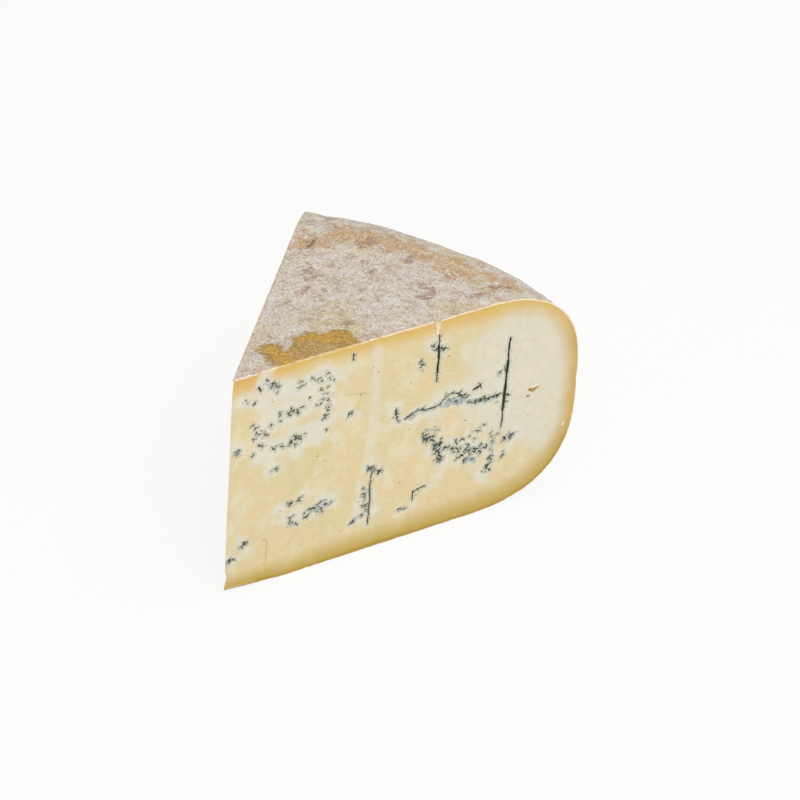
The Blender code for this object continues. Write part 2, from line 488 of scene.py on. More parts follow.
def paste_fields(x, z, veins, seed):
    """What the paste is like at each point of a cut face, and how deep its hollows go."""
    here = on_face(x, z, seed)
    rough = 0.13 * noise_at(here, 0.8, 2, 1) + 0.08 * noise_at(here, 0.42, 1, 2)
    drift = noise_at(here, 11.0, 2, 11)
    gap = stroke_distance(x, z, veins["dark"]) + rough
    shade = smooth(1.6, 0.05, gap + 0.6 * noise_at(here, 1.5, 2, 9))
    fill = smooth(0.5, -0.8, stroke_distance(x, z, veins["fill"]) + 1.5 * noise_at(here, 1.9, 3, 3))
    halo = smooth(5.0, -4.0, stroke_distance(x, z, veins["halo"], 12.0) + 5.0 * noise_at(here, 6.0, 3, 4))
    eye_gap = stroke_distance(x, z, veins["eyes"]) + 0.5 * rough
    smear = smooth(3.2, -2.6, stroke_distance(x, z, veins["smear"]) + 1.2 * noise_at(here, 6.0, 2, 10))
    flap = smooth(0.35, -0.25, stroke_distance(x, z, veins["flaps"]) + rough)
    under = outline_gap(x, z)
    mouth = needle_mouth(x, z) if seed == 1 else 0 * x
    mould = smooth(0.15, -0.1, gap)
    third_channel = smooth(8, 4, np.abs(x - 65)) * smooth(42, 36, z)
    always_ripe = 0.9 * smooth(70, 84, x) if seed == 1 else 0.1
    ripe = smooth(-0.7, 0.05, noise_at(here, 3.0, 2, 12) + always_ripe) * (1 - 0.35 * third_channel)
    depth = 1.0 * smooth(0.16, -0.38, gap) * (0.8 + 0.5 * noise_at(here, 3.0, 1, 5))
    depth += 0.10 * shade + 0.22 * fill + 1.1 * smooth(0.2, -0.5, eye_gap) + 1.1 * mouth
    depth += 0.06 * noise_at(here, 2.2, 2, 6) + 0.15 * noise_at(here, 20, 2, 7) - 0.06 * smear - 0.15 * flap
    fields = {
        "mould": mould, "spores": mould * ripe, "shade": shade, "fill": fill, "halo": halo, "smear": smear,
        "eye": smooth(0.16, -0.2, eye_gap), "pale": np.maximum(mouth, flap),
        "dried": drying(x, z, under, drift), "low": smooth(45, 6, z), "high": smooth(66, 92, z),
        "crumbly": smooth(0.3, 1.6, gap) * smooth(3, 8, under) * smooth(-0.2, 0.5, drift),
        "at_point": smooth(24, 1, x) * smooth(78, 94, z),
        "ivory": smooth(92, 124, x + 7 * drift - 1.5 * np.maximum(46 - z, 0) - 1.6 * np.maximum(z - 82, 0)),
    }
    return fields, depth, under


def paste_half(name, angle, inward, veins, seed):
    """Half of the paste: a cut face with its relief, the skin under the rind, and a plain middle plane."""
    middle = WEDGE_ANGLE / 2
    s = np.linspace(0, OUTLINE_S[-1], int(OUTLINE_S[-1] / RIM_STEP))
    r, z = profile_at(s, PASTE_UNDER_RIND)
    keep = r > tip_inset(z) * math.cos(middle) + 0.5 * RIM_STEP
    skin_s = s[keep]
    tip_z = np.linspace(z[-1] + 0.05, z[0] - 0.05, int((z[0] - z[-1]) / RIM_STEP))
    tip_e = tip_inset(tip_z)
    tips = around(tip_e, middle, tip_z)

    def skin(turned, inset):
        skin_r, skin_z = profile_at(skin_s, inset)
        return swelled(around(skin_r, turned, skin_z))

    along, into = cut_basis(angle, inward)
    edge = np.concatenate([skin(angle, PASTE_UNDER_RIND), tips])
    ring = np.stack([edge @ along, edge[:, 2]], axis=1)
    rng = np.random.default_rng(seed)
    x, z = graded_points(ring, veins, rng)
    face = triangulated(ring, x, z)
    x, z = np.concatenate([ring[:, 0], x]), np.concatenate([ring[:, 1], z])

    fields, depth, under = paste_fields(x, z, veins, seed)
    depth = PASTE_CUT_INSET + np.maximum(depth * smooth(0.2, 1.4, under), -0.08)
    tip_gap = x - np.interp(z, tip_z, tip_e * math.cos(middle))
    at_tip = smooth(2.6, 0.0, tip_gap)
    tip_depth = np.maximum(np.interp(z, tip_z, tip_e * math.sin(middle)), PASTE_CUT_INSET)
    depth = depth * (1 - at_tip) + tip_depth * at_tip
    points = x[:, None] * along + z[:, None] * np.array((0, 0, 1)) + depth[:, None] * into
    skins, rings = len(skin_s), len(ring)
    points[skins:rings] = tips

    # The skin goes round to the middle plane in steps, and sinks away from the cut.
    verts, tris, region = [points], [face], [0] * len(face)
    atlas = [np.stack([x, z], axis=1) / ATLAS_SPAN]
    previous = np.array([rings - 1, *range(skins), skins])
    for step, share in enumerate(SKIN_TURNS):
        turned = angle + (middle - angle) * share
        start = sum(map(len, verts))
        verts.append(skin(turned, PASTE_DEEP))
        atlas.append(np.stack([np.linspace(0, 1, skins), np.full(skins, 0.92 + 0.01 * step)], axis=1))
        current = np.array([rings - 1, *range(start, start + skins), skins])
        a, b, c, d = previous[:-1], previous[1:], current[1:], current[:-1]
        wall = np.concatenate([np.stack([a, b, c], 1), np.stack([a, c, d], 1)])
        wall = wall[(wall[:, 0] != wall[:, 1]) & (wall[:, 1] != wall[:, 2]) & (wall[:, 0] != wall[:, 2])]
        tris.append(wall)
        region += [1] * len(wall)
        previous = current
    deep_r, deep_z = profile_at(skin_s, PASTE_DEEP)
    plane = np.stack([np.append(deep_r, tip_e), np.append(deep_z, tip_z)], axis=1)
    plane_corners = np.concatenate([previous[1:-1], np.arange(skins, rings)])
    plane_tris = triangulated(plane, np.empty(0), np.empty(0))
    tris.append(plane_corners[plane_tris])
    region += [2] * len(plane_tris)

    verts, atlas = np.concatenate(verts), np.concatenate(atlas)
    tris, region = without_twins(np.concatenate(tris), np.array(region))
    corners = atlas[tris]
    where_plane = np.zeros((len(verts), 2))
    where_plane[plane_corners] = plane / ATLAS_SPAN * 0.5 + (0.02, 0.61)
    corners[region == 2] = where_plane[tris[region == 2]]
    extra = np.zeros(len(verts) - len(x))
    fields = {key: np.concatenate([value, extra]) for key, value in fields.items()}
    return finished(name, verts, tris, region, fields, corners)


def zipped(a, b, at_a, at_b):
    """Triangles between two rows of points, given how far along each point is."""
    tris = []
    i = j = 0
    while i < len(a) - 1 or j < len(b) - 1:
        if j == len(b) - 1 or (i < len(a) - 1 and at_a[i + 1] <= at_b[j + 1]):
            tris.append((a[i], a[i + 1], b[j]))
            i += 1
        else:
            tris.append((a[i], b[j + 1], b[j]))
            j += 1
    return tris


def turned_over(tris):
    return [(a, c, b) for a, b, c in tris]


def rows_of(s_low, s_high, step, start):
    """Rows of (s, angle) across the wedge, about step apart; their indices count from start."""
    rows = []
    for s in np.linspace(s_low, s_high, max(2, round((s_high - s_low) / step)) + 1):
        r = max(float(np.interp(s, OUTLINE_S, OUTLINE_R)), 0.3)
        margin = RIND_CUT_INSET / r
        count = max(2, round(r * (WEDGE_ANGLE - 2 * margin) / step))
        share = np.linspace(0, 1, count + 1)
        places = np.stack([np.full(count + 1, s), margin + share * (WEDGE_ANGLE - 2 * margin)], axis=1)
        index = list(range(start, start + count + 1))
        rows.append({"at": share.tolist(), "index": index, "places": places})
        start += count + 1
    return rows, start


def sheet(rows):
    """Triangles over all the rows."""
    tris = []
    for a, b in zip(rows, rows[1:]):
        tris += zipped(a["index"], b["index"], a["at"], b["at"])
    return tris


def rind_relief(points, radius, angle):
    """How high the dry rind stands about its mean, in millimetres."""
    lumps = 0.24 * noise_at(points, 9.0, 2, 21) + 0.16 * noise_at(points, 3.0, 2, 22)
    grain = 0.13 * noise_at(points, 1.1, 2, 23)
    rings = np.stack([radius / 1.5, angle * 5.0, points[:, 2] / 20], axis=1)
    turned = 0.13 * noise_at(rings, 1.0, 2, 24) * smooth(108, 126, radius) * smooth(60, 90, points[:, 2])
    rim = smooth(112, 132, radius) * smooth(55, 75, points[:, 2]) * smooth(0.40, 0.62, angle)
    return lumps + grain + turned + 1.1 * rim * noise_at(points, 6.5, 2, 25)


def needle_dimple(points):
    """The hollow in the top's rind over the first needle channel."""
    gap = np.hypot(points[:, 0] - NEEDLE_DIMPLE, points[:, 1] - 0.3)
    return 1.0 * smooth(1.9, 0.6, gap) * (points[:, 2] > 80)


def clear_of_tip(points):
    """Keeps the rind off the part of the point that has worn away."""
    middle = np.array((math.cos(WEDGE_ANGLE / 2), math.sin(WEDGE_ANGLE / 2), 0))
    short = np.maximum(tip_inset(points[:, 2]) + 0.02 - points @ middle, 0)
    return points + short[:, None] * middle


def rind_shell(name, s_low, s_high, step):
    """A closed skin of rind between two arc lengths of the profile, from one cut face to the other."""
    outer, total = rows_of(s_low, s_high, step, 0)
    inner, total = rows_of(s_low, s_high, 6 * step, total)
    outside, underside = sheet(outer), turned_over(sheet(inner))
    tris, region = outside + underside, [0] * len(outside) + [1] * len(underside)

    # Its cut ends, each with a ragged lip between its outside and its underside.
    row_s = np.array([row["places"][0, 0] for row in outer])
    at_outer = np.linspace(0, 1, len(outer)).tolist()
    at_inner = np.linspace(0, 1, len(inner)).tolist()
    turn = 0.2 * RIND_CUT_INSET / np.maximum(np.interp(row_s, OUTLINE_S, OUTLINE_R), 0.3)
    lips = []
    for side, lip_angle in ((0, turn), (-1, WEDGE_ANGLE - turn)):
        lip = list(range(total, total + len(row_s)))
        total += len(row_s)
        lips.append(np.stack([row_s, lip_angle], axis=1))
        end = zipped([row["index"][side] for row in outer], lip, at_outer, at_outer)
        end += zipped(lip, [row["index"][side] for row in inner], at_outer, at_inner)
        for row in (0, -1):
            corner = (outer[row]["index"][side], inner[row]["index"][side], lip[row])
            end.append(corner if row == 0 else corner[::-1])
        end = end if side == -1 else turned_over(end)
        tris += end
        region += [2] * len(end)
    for row in (0, -1):
        seam = zipped(outer[row]["index"], inner[row]["index"], outer[row]["at"], inner[row]["at"])
        tris += seam if row == -1 else turned_over(seam)
        region += [3] * len(seam)

    places = np.concatenate([row["places"] for row in outer + inner] + lips)
    outers = sum(len(row["places"]) for row in outer)
    kind = np.zeros(len(places))
    kind[outers:] = 1
    kind[len(places) - 2 * len(row_s):] = 2
    r, z = profile_at(places[:, 0])
    surface = around(r, places[:, 1], z)
    edge = np.minimum(places[:, 1], WEDGE_ANGLE - places[:, 1]) * r
    proud = 0.3 * smooth(1.3, 0.2, edge + 0.8 * noise_at(surface, 2.5, 2, 32))
    depth = 0.46 - rind_relief(surface, r, places[:, 1]) - proud
    deepest = 0.42 + 0.42 * smooth(0.4, 2.6, edge)
    depth = np.clip(depth, 0.08, deepest) * smooth(0.0, 6.0, r) + 0.3 * smooth(6.0, 0.0, r)
    depth += needle_dimple(surface)
    ragged_depth = 0.72 + 0.3 * noise_at(surface, 1.7, 2, 31)
    ragged_depth = ragged_depth + (RIND_INNER - ragged_depth) * smooth(0.0, 2.0, edge)
    depth = np.where(kind == 1, ragged_depth, depth)
    depth = np.where(kind == 2, 0.5 * depth + 0.36, depth)
    inset_r, inset_z = profile_at(places[:, 0], depth)
    verts = clear_of_tip(swelled(around(np.maximum(inset_r, 0.05), places[:, 1], inset_z)))

    # Its atlas: the outside unrolled, the underside small in a free corner, and the ends in strips.
    flat = np.stack([(places[:, 1] - WEDGE_ANGLE / 2) * r / ATLAS_ARC + 0.5,
                     (places[:, 0] - s_low) / (s_high - s_low) * 0.9], axis=1)
    tris, region = np.array(tris), np.array(region)
    corners = flat[tris]
    free_corner = np.array((0.0, 0.0 if s_low < 10 else 0.72))
    corners[region == 1] = corners[region == 1] * 0.16 + free_corner
    strip = np.stack([flat[:, 1] / 0.9, 0.92 + 0.02 * kind + 0.03 * (places[:, 1] > 0.4)], axis=1)
    corners[region == 2] = strip[tris[region == 2]]
    across = np.stack([flat[:, 0], 0.985 + 0.005 * kind], axis=1)
    corners[region == 3] = across[tris[region == 3]]
    return finished(name, verts, tris, region, rind_fields(surface, edge, kind), corners)


def finished(name, verts, tris, region, fields, corners):
    """A closed piece on the CAD wedge, with its attributes, its atlas, and creases between its regions."""
    mesh = bpy.data.meshes.new(name)
    mesh.from_pydata((verts * MM + AXIS).tolist(), [], tris.tolist())
    mesh.shade_smooth()
    for key, values in fields.items():
        mesh.attributes.new(key, "FLOAT", "POINT").data.foreach_set("value", values.astype(np.float32))
    mesh.attributes.new("region", "INT", "FACE").data.foreach_set("value", region.astype(np.int32))
    mesh.uv_layers.new(name="OFBake").data.foreach_set("uv", corners.astype(np.float32).ravel())
    bm = bmesh.new()
    bm.from_mesh(mesh)
    kind = bm.faces.layers.int["region"]
    bmesh.ops.recalc_face_normals(bm, faces=bm.faces)
    if bm.calc_volume(signed=True) < 0:
        bmesh.ops.reverse_faces(bm, faces=bm.faces)
    for edge in bm.edges:
        edge.smooth = len({face[kind] for face in edge.link_faces}) < 2
    bm.to_mesh(mesh)
    bm.free()
    piece = bpy.data.objects.new(name, mesh)
    bpy.context.scene.collection.objects.link(piece)
    return piece


# ---------------------------------------------------------------- the rind's stains, seen from above

def rind_fields(surface, edge, kind):
    """Stains, mottles and bands of the rind, and painted shade in its hollows, as amounts from 0 to 1."""
    x, y, z = surface[:, 0], surface[:, 1], surface[:, 2]
    top = smooth(80, 94, z)
    wander = noise_at(surface, 5.0, 3, 41)
    fine = noise_at(surface, 1.4, 2, 42)

    def patch(strokes, begins, full, far, coarse=2.0, ragged_by=1.0):
        gap = stroke_distance(x, y, strokes, far) + coarse * wander + ragged_by * fine
        return smooth(begins, full, gap) * top

    ochre = path(4.2, (24, 2), (25, 12)) + path(4.8, (30, 5), (42, 12)) + path(5.0, (40, 5), (51, 8))
    ochre += path(2.6, (44, 13), (54, 9)) + path(3.2, (24, 1), (54, 1))
    gold = path(2.8, (25, 3), (26, 11)) + path(3.3, (45, 11), (54, 8)) + path(2.0, (31, 15), (45, 14))
    band = path(6.0, (80, 76), (96, 77), (115, 60), (122, 37), (134, 15))
    rng = random.Random(17)
    spots = []
    for _ in range(16):
        turn, far_out, size = rng.uniform(0.05, 0.72), rng.uniform(60, 132), rng.uniform(0.9, 2.5)
        sx, sy = far_out * math.cos(turn), far_out * math.sin(turn)
        spots += path(size, (sx, sy), (sx + rng.uniform(1, 5), sy + rng.uniform(-2, 2)))
    streak = path(0.9, (82, 69), (100, 58), (106, 45)) + path(0.8, (118, 54), (131, 22))
    ochre_gap = stroke_distance(x, y, ochre, 14.0) + (0.6 + 1.4 * smooth(1, 6, y)) * wander + 1.1 * fine
    far_side = WEDGE_ANGLE / 2 < np.arctan2(y, x)
    lip = edge * np.where(far_side, 2.4, 1.0) + 0.5 * fine + 0.7 * noise_at(surface, 5.0, 2, 44)
    in_stain = smooth(2.4, -1.6, ochre_gap) * top
    lip_colour = smooth(1.25, 0.35, lip) * (1 - far_side)
    return {
        "stain": in_stain,
        "stain_edge": smooth(1.9, 0.2, np.abs(ochre_gap + 0.3)) * top,
        "edge_breaks": smooth(-0.4, 0.2, noise_at(surface, 6.0, 2, 43)),
        "gold": patch(gold, 1.6, -0.8, 14.0, 1.5, 1.2) * in_stain,
        "band": patch(band, 6.0, -5.0, 26.0, 9.0),
        "spot": patch(spots, 1.2, -1.6, 12.0, 2.6, 1.4),
        "streak": patch(streak, 1.5, -1.2, 6.0, 1.2, 1.2),
        "dark_streak": patch(path(0.7, (80, 73), (85, 76)), 0.7, -0.4, 5.0, 0.0, 0.7),
        "cut_end": np.where(kind >= 1, np.where(far_side, 0.3, 1.0), lip_colour),
        "torn": np.where(kind == 2, 1.0, smooth(1.4, 0.3, lip) * (kind < 1)) * smooth(-0.5, 0.4, wander) \
            * smooth(20, 75, z),
        "sandy": (kind < 1) * smooth(0.8, 2.0, edge) * smooth(-0.6, 0.6, wander) * (1 - in_stain),
        "by_cut": smooth(2.8, 1.0, lip) * (kind < 1),
        "low": smooth(48, 4, z),
        # where the cut lip turns near-white: partly painted highlight
        "high": smooth(66, 92, z),
        # painted shade: how far the rind sinks into a hollow of its relief
        "hollow": smooth(0.1, -0.5, rind_relief(surface, np.hypot(x, y), np.arctan2(y, x))),
    }


# ---------------------------------------------------------------- materials

def linear(code):
    """An sRGB hex colour as linear RGBA."""
    parts = [int(code[n:n + 2], 16) / 255 for n in (1, 3, 5)]
    return (*[p / 12.92 if p <= 0.04045 else ((p + 0.055) / 1.055) ** 2.4 for p in parts], 1)


def node(tree, kind, inputs=None, out=0, **settings):
    """Adds a node with its settings, input values and links, and gives back one of its outputs."""
    made = tree.nodes.new(kind)
    for key, value in settings.items():
        setattr(made, key, value)
    for key, value in (inputs or {}).items():
        if isinstance(value, bpy.types.NodeSocket):
            tree.links.new(value, made.inputs[key])
        else:
            made.inputs[key].default_value = value
    return made.outputs[out]


def new_material(name, attributes, patterns):
    """A material, and the fields that paint it: the piece's attributes, and noise in lumps of so many mm."""
    made = bpy.data.materials.new(name)
    made.use_nodes = True
    tree = made.node_tree
    where = node(tree, "ShaderNodeTexCoord", out="Object")
    fields = {key: node(tree, "ShaderNodeAttribute", out="Fac", attribute_name=key) for key in attributes}
    for key, (lump, detail, roughness) in patterns.items():
        scale = {"Vector": where, "Scale": 1 / (lump * MM), "Detail": detail, "Roughness": roughness}
        fields[key] = node(tree, "ShaderNodeTexNoise", scale)
    return made, tree, tree.nodes["Principled BSDF"], SimpleNamespace(**fields)


def painted(tree, ground, *layers):
    """Lays colours over a ground in turn. A layer is its colour, the field that places it, the field's
    values where it begins and is full, how strong it is there, and any fields that thin it."""
    for colour, field, begins, full, strength, *thinned in layers:
        span = {"Value": field, "From Min": begins, "From Max": full, "To Max": strength}
        mask = node(tree, "ShaderNodeMapRange", span, interpolation_type="SMOOTHSTEP")
        for other in thinned:
            mask = node(tree, "ShaderNodeMath", {0: mask, 1: other}, operation="MULTIPLY")
        ground, colour = [c if isinstance(c, bpy.types.NodeSocket) else linear(c) for c in (ground, colour)]
        ground = node(tree, "ShaderNodeMix", {0: mask, 6: ground, 7: colour}, 2, data_type="RGBA")
    return ground


def blue_veined_paste():
    """Semi-firm cow's-milk paste, cut with a knife: a moist, faintly waxy cream that pales towards the rim,
    with clouds of peach, deep yellow under the rind, green-black veins and a pale bloom round them."""
    made, tree, shader, at = new_material(
        "knife_cut_blue_veined_paste",
        ("mould", "spores", "shade", "fill", "halo", "smear", "eye", "pale", "dried", "low", "high",
         "at_point", "ivory"),
        {"bands": (24, 2, 0.5), "clouds": (9, 3, 0.5), "curds": (3, 3, 0.6), "flecks": (0.9, 2, 0.6)})
    under_rind = painted(
        tree, "#cfab5c", ("#c2a346", at.low, 0, 1, 1), ("#ddb761", at.high, 0, 1, 1),
        ("#9f8a32", at.dried, 0.84, 1, 0.75, at.low))
    blue = painted(tree, "#8e9c9e", ("#c2c8cc", at.curds, 0.42, 0.60, 1))
    green_black = painted(tree, "#262414", ("#44452f", at.curds, 0.44, 0.62, 1))
    eye_floor = painted(tree, "#d4b258", ("#8a7436", at.flecks, 0.48, 0.60, 1))
    colour = painted(
        tree, "#e1cfa2",
        ("#e9cd9f", at.bands, 0.53, 0.70, 0.45),
        ("#dacd98", at.bands, 0.49, 0.32, 0.6),
        ("#dfdac6", at.ivory, 0, 1, 0.97),
        ("#e8e0c6", at.clouds, 0.50, 0.68, 0.5),
        ("#d9c892", at.curds, 0.52, 0.70, 0.38),
        ("#ebe1c6", at.curds, 0.47, 0.30, 0.35),
        ("#cab684", at.flecks, 0.58, 0.72, 0.3),
        (under_rind, at.dried, -0.1, 1.05, 1),
        ("#e2aa5c", at.at_point, 0.1, 1, 0.55, at.dried),
        ("#e4dfd0", at.smear, 0, 1, 0.45),
        ("#dfdecf", at.halo, 0, 1, 0.85),
        ("#e5d9b6", at.clouds, 0.50, 0.62, 0.25, at.halo),
        ("#cfd2c4", at.curds, 0.53, 0.66, 0.5, at.halo),
        ("#c2c5b0", at.shade, 0.15, 1, 0.65),
        ("#8f9079", at.flecks, 0.52, 0.64, 0.85, at.shade),
        (blue, at.fill, 0.1, 0.8, 0.8),
        ("#817f66", at.mould, 0.15, 0.6, 1),
        (green_black, at.spores, 0.4, 0.85, 1),
        (eye_floor, at.eye, 0.3, 0.9, 0.95),
        ("#f0e0c9", at.pale, 0.2, 0.7, 1))
    tree.links.new(colour, shader.inputs["Base Color"])

    moist = {"Value": at.curds, "From Min": 0.3, "From Max": 0.7, "To Min": 0.42, "To Max": 0.6}
    tree.links.new(node(tree, "ShaderNodeMapRange", moist), shader.inputs["Roughness"])
    shader.inputs["IOR"].default_value = 1.45
    shader.inputs["Subsurface Weight"].default_value = 0.1
    shader.inputs["Subsurface Radius"].default_value = (1.0, 0.6, 0.35)
    shader.inputs["Subsurface Scale"].default_value = 1.5 * MM
    drag = node(tree, "ShaderNodeMath", {0: at.flecks, 1: 0.4, 2: at.curds}, operation="MULTIPLY_ADD")
    bump = node(tree, "ShaderNodeBump", {"Height": drag, "Strength": 0.4, "Distance": 0.15 * MM})
    tree.links.new(bump, shader.inputs["Normal"])
    return made


def dry_natural_rind():
    """Brushed natural rind, dried on boards: a matt, felted crust of grey-cream mould, grained like fine
    sand, with ochre and pink-brown stains, painted shade in its hollows, and a thin cream lip where the
    knife went through it, whose near-white along the top is partly painted highlight. The sand is drawn
    coarser than the real grain, which would be too fine to show."""
    made, tree, shader, at = new_material(
        "brushed_natural_rind",
        ("stain", "stain_edge", "edge_breaks", "gold", "band", "spot", "streak", "dark_streak", "cut_end",
         "by_cut", "low", "high", "hollow"),
        {"patches": (30, 3, 0.5), "mottle": (6, 4, 0.6), "sand": (1.25, 3, 0.7), "dust": (0.7, 2, 0.6)})
    # The lip where the knife cut the rind: cream, darker ochre towards the base; its near-white along the
    # top is partly painted highlight.
    lip = painted(
        tree, "#d9b872", ("#bd9a45", at.low, 0, 1, 1), ("#f6e6cb", at.high, 0, 1, 1),
        ("#f0cb7e", at.stain, 0, 1, 0.8), ("#d6a75c", at.mottle, 0.52, 0.62, 0.7))
    ochre = painted(
        tree, "#bd9350", ("#a77c2a", at.mottle, 0.42, 0.56, 1), ("#cfae7c", at.sand, 0.45, 0.33, 0.75),
        ("#745a2c", at.dust, 0.55, 0.66, 0.7))
    gold = painted(
        tree, "#ca9526", ("#b27e18", at.sand, 0.52, 0.64, 1), ("#e0b250", at.dust, 0.44, 0.34, 0.8))
    colour = painted(
        tree, "#d3c7b3",
        ("#d8cabf", at.patches, 0.47, 0.58, 1),
        ("#cfbe95", at.patches, 0.48, 0.36, 0.9),
        ("#b89d84", at.mottle, 0.53, 0.66, 0.75),
        ("#e0dbd8", at.mottle, 0.46, 0.33, 0.75),
        ("#c59c62", at.band, 0.1, 1, 0.75),
        ("#b98e62", at.mottle, 0.5, 0.64, 0.8, at.band),
        ("#9b725c", at.spot, 0.1, 1, 0.7),
        # painted shade in the rind's hollows
        ("#9f8b69", at.hollow, 0, 1, 0.4),
        ("#8f7d5d", at.sand, 0.54, 0.66, 0.75),
        ("#efe9dc", at.sand, 0.46, 0.34, 0.65),
        ("#e7d6ae", at.streak, 0, 1, 0.5),
        ("#6a5c40", at.dark_streak, 0, 1, 0.85),
        ("#7d6c4e", at.dust, 0.57, 0.69, 0.7),
        ("#f6f0e4", at.dust, 0.43, 0.33, 0.4),
        (ochre, at.stain, 0.0, 0.9, 1),
        ("#c3a878", at.mottle, 0.50, 0.62, 0.7, at.stain),
        (gold, at.gold, 0.1, 0.9, 0.85),
        ("#8f7430", at.mottle, 0.54, 0.66, 0.7, at.gold),
        ("#84733c", at.sand, 0.52, 0.64, 0.75, at.stain),
        ("#dfc48c", at.dust, 0.46, 0.36, 0.6, at.stain),
        ("#8b7a3e", at.stain_edge, 0.1, 1, 0.45, at.edge_breaks),
        ("#b98d4c", at.by_cut, 0.2, 1, 0.6, at.mottle),
        (lip, at.cut_end, 0.1, 0.6, 0.97))
    tree.links.new(colour, shader.inputs["Base Color"])
    dry = {"Value": at.sand, "From Min": 0.3, "From Max": 0.7, "To Min": 0.78, "To Max": 0.95}
    tree.links.new(node(tree, "ShaderNodeMapRange", dry), shader.inputs["Roughness"])
    shader.inputs["IOR"].default_value = 1.4
    shader.inputs["Sheen Weight"].default_value = 0.1
    shader.inputs["Sheen Roughness"].default_value = 0.6
    grit = node(tree, "ShaderNodeMath", {0: at.dust, 1: 0.5, 2: at.sand}, operation="MULTIPLY_ADD")
    bump = node(tree, "ShaderNodeBump", {"Height": grit, "Strength": 0.7, "Distance": 0.45 * MM})
    tree.links.new(bump, shader.inputs["Normal"])
    return made


def crumb_finish(name, ground, pale, dark):
    """Torn crumbs: matt, uneven in colour from one to the next."""
    made, tree, shader, at = new_material(name, (), {"tint": (2.5, 1, 0.5)})
    colour = painted(tree, ground, (pale, at.tint, 0.46, 0.36, 1), (dark, at.tint, 0.54, 0.64, 1))
    tree.links.new(colour, shader.inputs["Base Color"])
    shader.inputs["Roughness"].default_value = 0.85
    shader.inputs["IOR"].default_value = 1.4
    return made


def seen_directly(tree):
    """1 where the camera, a reflection or a view through glass looks, and 0 for the light on the object."""
    path_kind = tree.nodes.new("ShaderNodeLightPath").outputs
    first_two = {0: path_kind["Is Camera Ray"], 1: path_kind["Is Glossy Ray"]}
    seen = node(tree, "ShaderNodeMath", first_two, operation="MAXIMUM")
    return node(tree, "ShaderNodeMath", {0: seen, 1: path_kind["Is Transmission Ray"]}, operation="MAXIMUM")


def seamless_paper():
    """White studio paper: even and matt, with only a pale shadow on it."""
    made, tree, shader, _ = new_material("white_studio_paper", (), {})
    shader.inputs["Base Color"].default_value = linear("#f6f5f2")
    shader.inputs["Roughness"].default_value = 0.9
    glow = node(tree, "ShaderNodeEmission", {"Color": (1, 1, 1, 1), "Strength": 1.0})
    share = node(tree, "ShaderNodeMath", {0: seen_directly(tree), 1: PAPER_GLOW}, operation="MULTIPLY")
    mixed = node(tree, "ShaderNodeMixShader", {0: share, 1: shader.outputs[0], 2: glow})
    tree.links.new(mixed, tree.nodes["Material Output"].inputs["Surface"])
    return made


# ---------------------------------------------------------------- crumbs and grains

def strewn_tree():
    """Geometry Nodes that strew small lumps over a piece's faces, thickest where a named attribute is 1."""
    tree = bpy.data.node_groups.new("strewn_lumps", "GeometryNodeTree")
    for name, kind in (("Geometry", "Geometry"), ("Where", "String"), ("Density", "Float"),
                       ("Smallest", "Float"), ("Largest", "Float"), ("Flatness", "Float"),
                       ("Lift", "Float"), ("Seed", "Int"), ("Material", "Material")):
        tree.interface.new_socket(name, in_out="INPUT", socket_type="NodeSocket" + kind)
    tree.interface.new_socket("Geometry", in_out="OUTPUT", socket_type="NodeSocketGeometry")
    given = tree.nodes.new("NodeGroupInput").outputs
    where = node(tree, "GeometryNodeInputNamedAttribute", {"Name": given["Where"]}, data_type="FLOAT")
    density = node(tree, "ShaderNodeMath", {0: where, 1: given["Density"]}, operation="MULTIPLY")
    strew = tree.nodes.new("GeometryNodeDistributePointsOnFaces")
    for socket, value in (("Mesh", given["Geometry"]), ("Density", density), ("Seed", given["Seed"])):
        tree.links.new(value, strew.inputs[socket])
    outwards = {0: strew.outputs["Normal"], "Scale": given["Lift"]}
    lifted = node(tree, "ShaderNodeVectorMath", outwards, operation="SCALE")
    points = node(tree, "GeometryNodeSetPosition", {"Geometry": strew.outputs["Points"], "Offset": lifted})
    span = {"Min": given["Smallest"], "Max": given["Largest"]}
    size = node(tree, "FunctionNodeRandomValue", span, "Value", data_type="FLOAT")
    squash = node(tree, "ShaderNodeCombineXYZ", {"X": 1.0, "Y": 0.75, "Z": given["Flatness"]})
    scale = node(tree, "ShaderNodeVectorMath", {0: squash, "Scale": size}, operation="SCALE")
    lump = node(tree, "GeometryNodeMeshIcoSphere", {"Radius": 1.0, "Subdivisions": 1})
    facing = strew.outputs["Rotation"]
    placed = node(tree, "GeometryNodeInstanceOnPoints",
                  {"Points": points, "Instance": lump, "Rotation": facing, "Scale": scale})
    tilts = {0: (-0.5, -0.5, -3.2), 1: (0.5, 0.5, 3.2)}
    turn = node(tree, "FunctionNodeRandomValue", tilts, data_type="FLOAT_VECTOR")
    placed = node(tree, "GeometryNodeRotateInstances", {"Instances": placed, "Rotation": turn})
    solid = node(tree, "GeometryNodeRealizeInstances", {"Geometry": placed})
    spot = node(tree, "GeometryNodeInputPosition")
    close = node(tree, "ShaderNodeMath", {0: 1.5, 1: given["Largest"]}, operation="DIVIDE")
    dents = node(tree, "ShaderNodeTexNoise", {"Vector": spot, "Scale": close, "Detail": 0.0}, "Color")
    dents = node(tree, "ShaderNodeVectorMath", {0: dents, 1: (0.5, 0.5, 0.5)}, operation="SUBTRACT")
    dents = node(tree, "ShaderNodeVectorMath", {0: dents, "Scale": given["Largest"]}, operation="SCALE")
    solid = node(tree, "GeometryNodeSetPosition", {"Geometry": solid, "Offset": dents})
    solid = node(tree, "GeometryNodeSetMaterial", {"Geometry": solid, "Material": given["Material"]})
    tree.links.new(solid, tree.nodes.new("NodeGroupOutput").inputs["Geometry"])
    return tree


